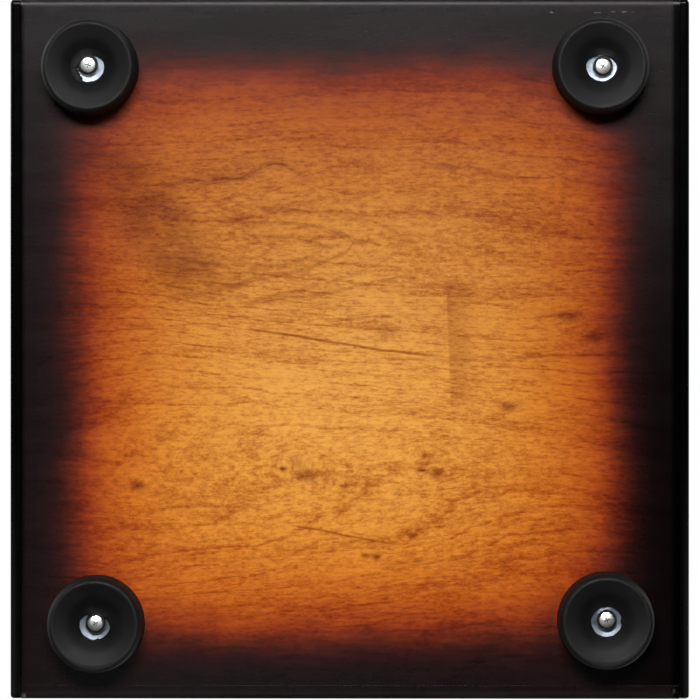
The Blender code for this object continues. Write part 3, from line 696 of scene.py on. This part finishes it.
def lathe(outline, place, sides, warp=None, bm=None):
    """Turn closed (radius, z) points about the Z axis of place. warp(radius, z, angle) may move a point."""
    bm = bm or bmesh.new()
    rings = []
    for radius, z in outline:
        if radius < 1e-7:
            rings.append([bm.verts.new(place @ Vector((0, 0, z)))])
            continue
        ring = []
        for angle in full_turn(sides):
            r, height = warp(radius, z, angle) if warp else (radius, z)
            ring.append(bm.verts.new(place @ Vector((r * math.cos(angle), r * math.sin(angle), height))))
        rings.append(ring)
    for near, far in zip(rings, rings[1:] + rings[:1]):
        if len(near) == 1 and len(far) == 1:
            continue
        for step in range(sides):
            after = (step + 1) % sides
            corners = [near[step % len(near)], near[after % len(near)]]
            corners += [far[after % len(far)], far[step % len(far)]]
            bm.faces.new(list(dict.fromkeys(corners)))
    bmesh.ops.recalc_face_normals(bm, faces=bm.faces)
    return bm


def middle(node):
    low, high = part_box(node)
    return (low + high) / 2


def half_width(node):
    low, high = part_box(node)
    return (high.x - low.x) / 2


def facing(point, direction):
    """A placement at a point, with +Z turned to the given direction."""
    return Matrix.Translation(point) @ Vector(direction).to_track_quat("Z", "Y").to_matrix().to_4x4()


def loft(rings, bm=None):
    """A closed solid through rings of as many points."""
    bm = bm or bmesh.new()
    made = [[bm.verts.new(point) for point in ring] for ring in rings]
    bm.faces.new(made[0])
    bm.faces.new(made[-1])
    for near, far in zip(made, made[1:]):
        for index in range(len(near)):
            after = (index + 1) % len(near)
            bm.faces.new([near[index], far[index], far[after], near[after]])
    bmesh.ops.recalc_face_normals(bm, faces=bm.faces)
    return bm


# ---- the box's shells
PLATE_EDGE_R = 0.0015
PLATE_CORNER_R = 0.0018
PLATE_REACH = 0.0008            # the visible plates are this much wider at each side than their CAD nodes
BOX_EDGE_R = 0.0026             # across; the roundover is shallower in height
BOX_EDGE_DEPTH = 0.0012
GLUE_GAP = 0.0003
EDGE_STEPS = 7
CORNER_STEPS = 10


def plate(node, front):
    """A plate over the box's front or rear, rounded at its corners and its outer edges."""
    low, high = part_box(node)
    low.x, high.x = low.x - PLATE_REACH, high.x + PLATE_REACH
    face, inner = (low.y, high.y) if front else (high.y, low.y)
    towards = -1 if front else 1
    layers = [(0.0, inner)]
    for turn in quarter_turn(EDGE_STEPS):
        depth = PLATE_EDGE_R * (1 - math.sin(turn))
        layers.append((PLATE_EDGE_R * (1 - math.cos(turn)), face - towards * depth))
    r = PLATE_CORNER_R
    rings = []
    for shrink, y in layers:
        ring = []
        for quarter, (x, z) in enumerate(((high.x - r, high.z - r), (low.x + r, high.z - r),
                                          (low.x + r, low.z + r), (high.x - r, low.z + r))):
            for step in range(CORNER_STEPS + 1):
                turn = math.pi / 2 * (quarter + step / CORNER_STEPS)
                ring.append((x + (r - shrink) * math.cos(turn), y, z + (r - shrink) * math.sin(turn)))
        rings.append(ring)
    return loft(rings)


def screw_names():
    return sorted(name for name in NODES if name.startswith("tapa_screw_"))


def build_plates(looks):
    """The playing plate with its countersunk holes, and the back plate with its eased sound hole."""
    tapa_low, tapa_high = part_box("tapa")
    thick = tapa_high.y - tapa_low.y
    holes = bmesh.new()
    wide, narrow, past, rim = 0.0038, 0.0018, 0.001, 0.0003
    cone = [(0, -past), (wide, -past), (wide, rim), (narrow, rim + wide - narrow),
            (narrow, thick + past), (0, thick + past)]
    for name in screw_names():
        centre = middle(name)
        lathe(cone, facing((centre.x, tapa_low.y, centre.z), (0, 1, 0)), 32, bm=holes)
    tapa = carve("playing_plate", plate("tapa", True), holes)
    new_piece("playing_plate", tapa, looks["tapa"], "stained_ply", "tapa", smooth=False)

    back_low, back_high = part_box("back_panel")
    depth = back_high.y - back_low.y
    ease = 0.0012
    profile = [(0, past), (HOLE_R + ease + 0.0004, past), (HOLE_R + ease, 0)]
    profile += [(HOLE_R + ease * (1 - math.sin(turn)), -ease * (1 - math.cos(turn)))
                for turn in quarter_turn(5)[1:]]
    profile += [(HOLE_R, -depth - past), (0, -depth - past)]
    hole = lathe(profile, facing((0, back_high.y, HOLE_Z), (0, 1, 0)), 160)
    back = carve("rear_plate", plate("back_panel", False), hole)
    new_piece("rear_plate", back, looks["back_panel"], "stained_ply", "back_panel", smooth=False)


def build_sides(looks):
    """The side panels, with rounded long edges and rabbets for the seat and the bottom panel."""
    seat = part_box("top_panel")
    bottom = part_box("bottom_panel")
    for side, word in ((-1, "left"), (1, "right")):
        node = f"side_panel_{word}"
        low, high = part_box(node)
        outer = max(abs(low.x), abs(high.x))
        inner = min(abs(low.x), abs(high.x))
        lip = bottom[1].x + GLUE_GAP
        r = BOX_EDGE_R
        turns = quarter_turn(EDGE_STEPS)
        deep = BOX_EDGE_DEPTH
        outline = [(outer - r + r * math.cos(turn), low.z + deep * (1 - math.sin(turn))) for turn in turns]
        ledge, shelf = bottom[1].z + GLUE_GAP, seat[0].z - GLUE_GAP
        outline += [(lip, low.z), (lip, ledge), (inner, ledge), (inner, shelf), (lip, shelf), (lip, high.z)]
        outline += [(outer - r + r * math.sin(turn), high.z - deep * (1 - math.cos(turn))) for turn in turns]
        shell = loft([[(side * x, y, z) for x, z in outline] for y in (low.y, high.y)])
        new_piece(f"side_shell_{word}", shell, looks[node], "stained_ply", node, smooth=False)


def build_lacquer_beads(looks):
    """Lacquer has run into the seams between the bottom panel and the sides, and fills them."""
    low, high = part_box("bottom_panel")
    half, root, proud, deep = 0.00016, 0.00012, 0.000005, 0.004
    for side, word in ((-1, "left"), (1, "right")):
        centre = side * (high.x + GLUE_GAP / 2)
        outline = ((-half, 0), (-half * 0.9, -proud), (half * 0.9, -proud), (half, 0),
                   (root, deep), (-root, deep))
        rings = [[(centre + x, y, PANEL_Z + z) for x, z in outline] for y in (low.y, high.y)]
        new_piece(f"lacquer_bead_{word}", loft(rings), looks["bottom_panel"], "stained_ply", smooth=False)


# ---- feet
WASHER_SLOPE = math.tan(math.radians(11.5))
FEET = {    # a flap of rubber over the washer (start angle, end angle, reach), the lip that hides one side
            # of the washer (reach, direction), and the washer's lean about X and about Y
    "front_left": ((0.0, 0.0, 0.0), (0.0026, 3.25), (0.05, 0.08)),
    "front_right": ((4.52, 4.92, 0.0008), (0.0003, 3.14), (0.0, 0.0)),
    "rear_left": ((0.44, 3.37, 0.0024), (0.0022, 2.90), (-0.02, 0.08)),
    "rear_right": ((5.98, 6.20, 0.0006), (0.0026, 3.35), (0.05, 0.0)),
}
LIP_ZONE_R = 0.0074             # inside this the rubber is the lip over the washer
SIDE_ZONE_R, SIDE_ZONE_Z = 0.0170, 0.012
RIM_Z = 0.004                   # the right-hand feet are worn flatter below this, on their +X side
NOTCHED = "rear_left"           # the foot with a nick in its side, and where the nick is
NOTCH_ANGLE, NOTCH_WIDTH, NOTCH_DEPTH = 3.96, 0.09, 0.0004
NOTCH_R, NOTCH_Z = 0.0195, 0.005


def foot_outline(base_r, top, washer_z, washer_r):
    """(radius, z) points of a foot: bore, base, side with its mould line, shoulder, rim, dish and lip."""
    lip_r, bore_r, side_r = 0.0066, 0.0032, 0.0204
    table = (       # radius, z, rounding
        (bore_r, washer_z + 0.0016, 0),
        (bore_r, top, 0),
        (base_r - 0.0005, top, 0.0005),
        (base_r - 0.0007, top - 0.0030, 0.002),
        (side_r + 0.00002, 0.0036, 0.0001),
        (side_r + 0.00008, 0.0033, 0.0001),
        (side_r, 0.0030, 0.0002),
        (0.0201, 0.0014, 0.0008),
        (0.0192, 0.0003, 0.0006),
        (0.0184, 0.0000, 0.0004),
        (0.0176, 0.0002, 0.0012),
        (0.0146, 0.0013, 0.003),
        (0.0120, 0.0023, 0.003),
        (0.0098, 0.0038, 0.003),
        (0.0079, 0.0054, 0.002),
        (lip_r + 0.0001, washer_z - 0.0006, 0.0003),
        (lip_r, washer_z - 0.0002, 0.0001),
        (washer_r + 0.0002, washer_z - 0.0002, 0),
        (washer_r + 0.0002, washer_z + 0.0016, 0),
    )
    return round_line([row[:2] for row in table], [row[2] for row in table])


def foot_warp(corner, number, washer_z, least):
    """A foot's unevenness: its ragged lip and flaps of rubber, worn rim and wavy side."""
    (start, end, reach), (lip, direction), _ = FEET[corner]

    def warp(radius, z, angle):
        spot = Vector((math.cos(angle), math.sin(angle), number * 3.1))
        if radius < LIP_ZONE_R and z < washer_z:
            ragged = noise.noise(spot * 3.2) * 0.00016
            ragged -= lip * max(0.0, math.cos(angle - direction)) ** 1.3
            if start < angle < end:
                swell = math.sin(math.pi * (angle - start) / (end - start)) ** 0.25
                ragged -= reach * swell * (0.75 + 0.35 * noise.noise(spot * 6.0))
            radius = max(radius + ragged, least)
        elif radius > SIDE_ZONE_R and z < SIDE_ZONE_Z:
            if corner.endswith("right") and z < RIM_Z:
                z *= 1 - 0.85 * max(0.0, math.cos(angle)) ** 2
            radius += noise.noise(spot * 1.7 + Vector((0, 0, z * 200))) * 0.00010
            if corner == NOTCHED and z < NOTCH_Z and radius > NOTCH_R:
                radius -= NOTCH_DEPTH * math.exp(-((angle - NOTCH_ANGLE) / NOTCH_WIDTH) ** 2)
        return radius, z

    return warp


def build_feet(material):
    """Moulded rubber feet with a dished face, a mould line round the widest part and a ragged inner lip."""
    for number, corner in enumerate(FEET):
        foot, washer, screw = (f"{kind}_{corner}" for kind in ("foot", "foot_washer", "foot_screw"))
        washer_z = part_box(washer)[0].z
        outline = foot_outline(half_width(foot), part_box(foot)[1].z, washer_z, half_width(washer))
        warp = foot_warp(corner, number, washer_z, half_width(screw) + 0.0001)
        centre = middle(foot)
        moulded = lathe(outline, Matrix.Translation((centre.x, centre.y, 0)), 144, warp)
        new_piece(f"rubber_foot_{corner}", moulded, material, "rubber", foot)


def build_washers(material):
    """Pressed cup washers: each slopes up towards its hole."""
    for corner in FEET:
        node = f"foot_washer_{corner}"
        low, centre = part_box(node)[0], middle(node)
        outer, inner, thick = half_width(node), 0.0030, 0.0005
        rise = (outer - inner) * WASHER_SLOPE
        points = [(inner + 0.001, low.z + rise * 0.8), (outer, low.z), (outer, low.z + thick),
                  (inner, low.z + rise + thick), (inner, low.z + rise), (inner + 0.001, low.z + rise * 0.8)]
        outline = round_line(points, [0, 0.00022, 0.0001, 0.0001, 0.00015, 0])[:-1]
        about_x, about_y = FEET[corner][2]
        lean = Matrix.Rotation(about_x, 4, "X") @ Matrix.Rotation(about_y, 4, "Y")
        cup = lathe(outline, Matrix.Translation(centre) @ lean @ Matrix.Translation((0, 0, -centre.z)), 96)
        new_piece(f"cup_washer_{corner}", cup, material, "zinc", node)


def cross_cutter(place, arm, half, depth):
    """Tapered cross that points along +Z of place: wide at the mouth, narrow at its floor."""
    rings = []
    for z, reach, width in ((-0.002, arm, half), (0.0, arm, half), (depth * 0.55, arm * 0.72, half * 0.8),
                            (depth, half * 1.3, half * 0.6)):
        quarter = [(width, width), (width, max(reach, width * 1.02)), (-width, max(reach, width * 1.02))]
        ring = []
        for turn in range(4):
            rotation = Matrix.Rotation(turn * math.pi / 2, 2)
            ring += [place @ Vector((*(rotation @ Vector(point)), z)) for point in quarter]
        rings.append(ring)
    return loft(rings)


HEAD_HEIGHT = 0.0038
BALL_R = 0.011                  # of the flat of a pan head
DOME_SHARE = 0.74               # of the head's radius
HEAD_SLOPES = (24, 33, 43, 53, 63, 73)      # degrees, from the dome out to the side


def build_foot_screws(material):
    """Pan-head screws with a broad flat dome, a steep side and a cross recess."""
    for number, corner in enumerate(FEET):
        node = f"foot_screw_{corner}"
        low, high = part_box(node)
        centre = middle(node)
        head_r, shank_r, seat = half_width(node), 0.0020, low.z + HEAD_HEIGHT
        profile = [(0, low.z)]
        dome_r = head_r * DOME_SHARE
        profile += [(dome_r * share, low.z + BALL_R - math.sqrt(BALL_R ** 2 - (dome_r * share) ** 2))
                    for share in (step / 8 for step in range(1, 9))]
        for slope in HEAD_SLOPES:
            advance = (head_r - dome_r) / len(HEAD_SLOPES)
            radius, z = profile[-1]
            profile.append((radius + advance, z + advance * math.tan(math.radians(slope))))
        profile += [(head_r, seat - 0.0001), (head_r - 0.0001, seat), (shank_r, seat),
                    (shank_r, high.z - 0.003), (0, high.z)]
        head = lathe(profile, Matrix.Translation((centre.x, centre.y, 0)), 96)
        place = Matrix.Translation((centre.x, centre.y, low.z)) @ Matrix.Rotation(0.5 + number * 0.7, 4, "Z")
        screw = carve(f"pan_screw_{corner}", head, cross_cutter(place, 0.0014, 0.00028, 0.0012))
        new_piece(f"pan_screw_{corner}", screw, material, "zinc", node)


def build_tapa_screws(material):
    """Countersunk black screws round the playing plate."""
    for number, name in enumerate(screw_names()):
        low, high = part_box(name)
        centre = middle(name)
        head_r, shank_r = half_width(name), 0.0015
        length = high.y - low.y
        profile = [(0, 0.00006), (head_r * 0.8, 0.00004), (head_r - 0.0001, 0.00012), (head_r, 0.0002),
                   (head_r, 0.0003), (shank_r, 0.0003 + head_r - shank_r),
                   (shank_r, length - 0.003), (0, length)]
        place = facing((centre.x, low.y, centre.z), (0, 1, 0))
        screw = lathe(profile, place, 40)
        cutter = cross_cutter(place @ Matrix.Rotation(number * 2.4, 4, "Z"), 0.0019, 0.00040, 0.0014)
        label = f"black_screw_{number + 1:02d}"
        new_piece(label, carve(label, screw, cutter), material, "black_screw", name)


# ---- snares
COIL_R = 0.00078                # to the middle of the wire
STRAND_R = 0.00030
COIL_PITCH = 0.0011
TURN_STEPS = 8
STRAND_SIDES = 4
WIRES = 10
WIRE_PITCH = 0.0044
SPLAY = math.radians(15)


def coil(bm, start, along, side, out, length):
    """A strand wound in a helix about a straight line."""
    turns = length / COIL_PITCH
    count = int(turns * TURN_STEPS)
    rings = []
    for step in range(count + 1):
        angle = math.tau * step / TURN_STEPS
        radial = side * math.cos(angle) + out * math.sin(angle)
        centre = start + along * (length * step / count) + radial * COIL_R
        rings.append([bm.verts.new(centre + (radial * math.cos(turn) + along * math.sin(turn)) * STRAND_R)
                      for turn in full_turn(STRAND_SIDES)])
    for near, far in zip(rings, rings[1:]):
        for corner in range(STRAND_SIDES):
            after = (corner + 1) % STRAND_SIDES
            bm.faces.new([near[corner], near[after], far[after], far[corner]])
    bm.faces.new(rings[0])
    bm.faces.new(rings[-1])


def fan_axes(word):
    """(side, up) of a fan of wires: the two halves lean away from each other."""
    splay = SPLAY if word == "right" else -SPLAY
    return Vector((math.cos(splay), 0, -math.sin(splay))), Vector((math.sin(splay), 0, math.cos(splay)))


def build_snares(material):
    """Two fans of coiled wires, each soldered in a row on its clip."""
    for word in ("left", "right"):
        verts = [vertex.co for vertex in NODES[f"snare_wires_{word}"].data.vertices]
        side, up = fan_axes(word)
        centre = sum(verts, Vector()) / len(verts)
        heights = [(vert - centre).dot(up) for vert in verts]
        tips = [vert for vert, height in zip(verts, heights) if height > max(heights) - 0.002]
        feet = [vert for vert, height in zip(verts, heights) if height < min(heights) + 0.0015]
        top, bottom = sum(tips, Vector()) / len(tips), sum(feet, Vector()) / len(feet)
        along = (top - bottom).normalized()
        out = along.cross(side)
        bm = bmesh.new()
        for index in range(WIRES):
            shift = side * ((index - (WIRES - 1) / 2) * WIRE_PITCH)
            coil(bm, bottom + shift, along, side, out, (top - bottom).length)
        reach = side * (WIRES / 2 * WIRE_PITCH)
        solder = [along * (0.0024 + 0.0014 * math.cos(turn)) + out * (0.0010 * math.sin(turn))
                  for turn in full_turn(10)]
        loft([[bottom + reach * end + point for point in solder] for end in (-1, 1)], bm)
        new_piece(f"snare_coils_{word}", bm, material, "snare_steel", f"snare_wires_{word}")


# ---- stage
def new_nodes(tree, **kinds):
    """Empties a node tree and makes its nodes anew, by name."""
    tree.nodes.clear()
    return {name: tree.nodes.new("ShaderNode" + kind) for name, kind in kinds.items()}


def link_nodes(tree, nodes, *links):
    """Each link is (node, output, node, input)."""
    for source, output, target, socket in links:
        tree.links.new(nodes[source].outputs[output], nodes[target].inputs[socket])


def set_range(node, values):
    """A Map Range node's values: two that it maps from and two that it maps to."""
    for socket, value in zip(list(node.inputs)[1:5], values):
        socket.default_value = value


FLOOR_R = 14.0
FLOOR_FADE = (0.7, 2.6, 0.0, 1.0)           # metres from the middle, and how much of the floor just glows
FLOOR_PAINT_AND_SHADOW = (0.13, 0.165, 0.04, 0.86)     # and how pale its paint is, with a painted shadow under the box


def build_floor():
    """A pale floor for the views from above. It is see-through from below, where the main camera is."""
    bm = bmesh.new()
    bmesh.ops.create_circle(bm, cap_ends=True, segments=96, radius=FLOOR_R)
    mesh = to_mesh("floor", bm)
    floor = show(bpy.data.objects.new("floor", mesh))
    floor.location.z = -0.0002
    material = bpy.data.materials.new("pale_floor")
    material.use_nodes = True
    mesh.materials.append(material)
    nodes = new_nodes(material.node_tree, output="OutputMaterial", blend="MixShader",
                      clear="BsdfTransparent", place="TexCoord", distance="VectorMath", near="MapRange",
                      far="MapRange", fade="MixShader", paint="BsdfDiffuse", glow="Emission",
                      path="LightPath", side="NewGeometry", seen="Math")
    nodes["distance"].operation = "LENGTH"
    nodes["seen"].operation = "SUBTRACT"
    nodes["seen"].use_clamp = True
    set_range(nodes["far"], FLOOR_FADE)
    # the paint is dimmed under the box: a painted shadow
    set_range(nodes["near"], FLOOR_PAINT_AND_SHADOW)
    link_nodes(material.node_tree, nodes,
               ("place", "Object", "distance", 0), ("distance", "Value", "far", 0),
               ("distance", "Value", "near", 0), ("near", 0, "paint", "Color"),
               ("far", 0, "fade", 0), ("paint", 0, "fade", 1), ("glow", 0, "fade", 2),
               ("path", "Is Camera Ray", "seen", 0), ("side", "Backfacing", "seen", 1),
               ("seen", 0, "blend", 0), ("clear", 0, "blend", 1), ("fade", 0, "blend", 2),
               ("blend", 0, "output", 0))


def placement(place, right, up, back):
    """Where a lamp or the camera stands and how it is turned."""
    return Matrix.Translation(place) @ Matrix((right, up, back)).transposed().to_4x4()


def soft_light(name, place, target, size, power):
    """An area light; size is its length along Y (or its square side) and its width."""
    data = bpy.data.lights.new(name, "AREA")
    data.shape = "RECTANGLE"
    data.size, data.size_y = size
    data.energy = power
    lamp = show(bpy.data.objects.new(name, data))
    towards = (Vector(target) - Vector(place)).normalized()
    long_way = Vector((0, 1, 0)) if abs(towards.y) < 0.9 else Vector((1, 0, 0))
    long_way = (long_way - towards * long_way.dot(towards)).normalized()
    lamp.matrix_world = placement(place, long_way, (-towards).cross(long_way), -towards)
    lamp.visible_camera = False


BODY = (0.0, 0.0, 0.24)
UNDER = (0.0, 0.0, PANEL_Z)
LIGHTS = (      # name, place, target, size, power in watts
    ("under_key", (-0.74, 0.06, PANEL_Z - 1.60), UNDER, (0.8, 0.42), 35.0),
    ("under_low", (0.44, 0.12, PANEL_Z - 1.70), UNDER, (0.30, 0.20), 0.6),
    ("under_side_rear", (0.0, 1.7, PANEL_Z - 1.0), UNDER, (1.0, 0.8), 0.3),
    ("under_side_front", (0.0, -1.7, PANEL_Z - 1.0), UNDER, (1.0, 0.8), 0.3),
    ("front_key", (-1.5, -2.2, 1.9), BODY, (1.4, 1.4), 85.0),
    ("right_fill", (2.4, -1.0, 1.3), BODY, (1.6, 1.6), 56.0),
    ("rear_key", (-1.2, 2.4, 1.6), BODY, (1.6, 1.6), 68.0),
    ("top_light", (0.3, 0.2, 2.6), BODY, (1.6, 1.6), 5.0),
)

ROOM_FADE = (-0.15, 0.10, 0.012, 0.34)      # the sine of a direction's elevation, and the room's glow there


def build_lights():
    """Soft lights, and a white room that is dim from below, so that the lacquer there stays deep."""
    for light in LIGHTS:
        soft_light(*light)

    world = bpy.data.worlds.new("studio")
    bpy.context.scene.world = world
    world.use_nodes = True
    nodes = new_nodes(world.node_tree, output="OutputWorld", blend="MixShader", room="Background",
                      backdrop="Background", place="TexCoord", direction="SeparateXYZ", fade="MapRange",
                      path="LightPath")
    for shade in (nodes["room"], nodes["backdrop"]):
        shade.inputs["Color"].default_value = (1.0, 1.0, 1.0, 1.0)
    set_range(nodes["fade"], ROOM_FADE)
    link_nodes(world.node_tree, nodes,
               ("place", "Generated", "direction", 0), ("direction", "Z", "fade", 0),
               ("fade", 0, "room", "Strength"), ("path", "Is Camera Ray", "blend", 0),
               ("room", 0, "blend", 1), ("backdrop", 0, "blend", 2), ("blend", 0, "output", 0))


CAMERA_DISTANCE = 1.90
CAMERA_PLACE = (-0.006, -0.020, PANEL_Z - CAMERA_DISTANCE)
CAMERA_AIM = (0.00040, -0.00024, PANEL_Z)
METRES_PER_PIXEL = 0.00043580       # on the underside
IMAGE_SIZE = 700
SENSOR = 36.0


def build_camera():
    """Below the cajon, looking up, with the picture's right towards the tapa (-Y) and its top towards -X."""
    place, aim = Vector(CAMERA_PLACE), Vector(CAMERA_AIM)
    data = bpy.data.cameras.new("camera")
    data.sensor_width = SENSOR
    data.lens = SENSOR * CAMERA_DISTANCE / (IMAGE_SIZE * METRES_PER_PIXEL)
    camera = show(bpy.data.objects.new("camera", data))
    forward = (aim - place).normalized()
    right = forward.cross(Vector((-1, 0, 0))).normalized()
    up = right.cross(forward)
    camera.matrix_world = placement(place, right, up, -forward)
    bpy.context.scene.camera = camera


def main():
    bpy.context.scene.view_settings.view_transform = "Standard"
    build_camera()
    build_lights()
    build_floor()
    looks = panel_looks()
    for name in ("bottom_panel", "top_panel"):
        dress(name, looks[name])
    build_plates(looks)
    build_sides(looks)
    build_lacquer_beads(looks)
    dress_inner_wood()
    plated = zinc()
    build_feet(rubber())
    build_washers(plated)
    build_foot_screws(bright_steel())
    build_tapa_screws(blackened())
    build_snares(steel("wire_steel", (190, 190, 184), 0.24))
    clip_steel = steel("clip_steel", (170, 170, 166), 0.32)
    for name in NODES:
        if name.startswith(("snare_bar_screw", "snare_clip_screw")):
            dress(name, plated)
        elif name.startswith("snare_clip"):
            dress(name, clip_steel)


main()
